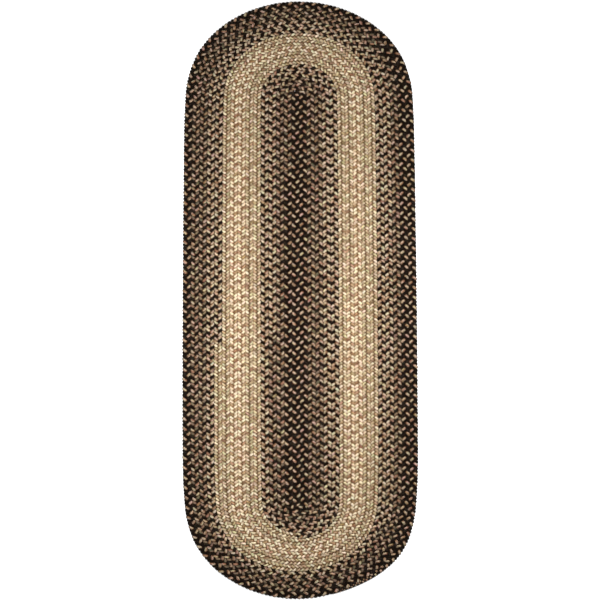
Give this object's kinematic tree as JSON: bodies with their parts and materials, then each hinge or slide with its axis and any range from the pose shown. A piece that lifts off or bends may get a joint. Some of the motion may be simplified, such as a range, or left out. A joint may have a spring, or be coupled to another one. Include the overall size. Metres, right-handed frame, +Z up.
{
  "type": "braided rug",
  "caption": "Oval runner rug coiled from a flat braid of dark, tan and beige yarn, with a beige ring between dark bands.",
  "frame": {"origin": "middle of the underside, where the rug lies on the floor", "axes": "+X across the rug, +Y along it towards the head end, where the middle strip's first turn lies, +Z up"},
  "size_m": [0.6896, 1.7526, 0.012],
  "materials": {
    "braided_yarn": "matte heathered wool-like yarn, plied and braided"
  },
  "bodies": {
    "root": {"braided_rug": "braided_yarn"}
  },
  "joints": []
}
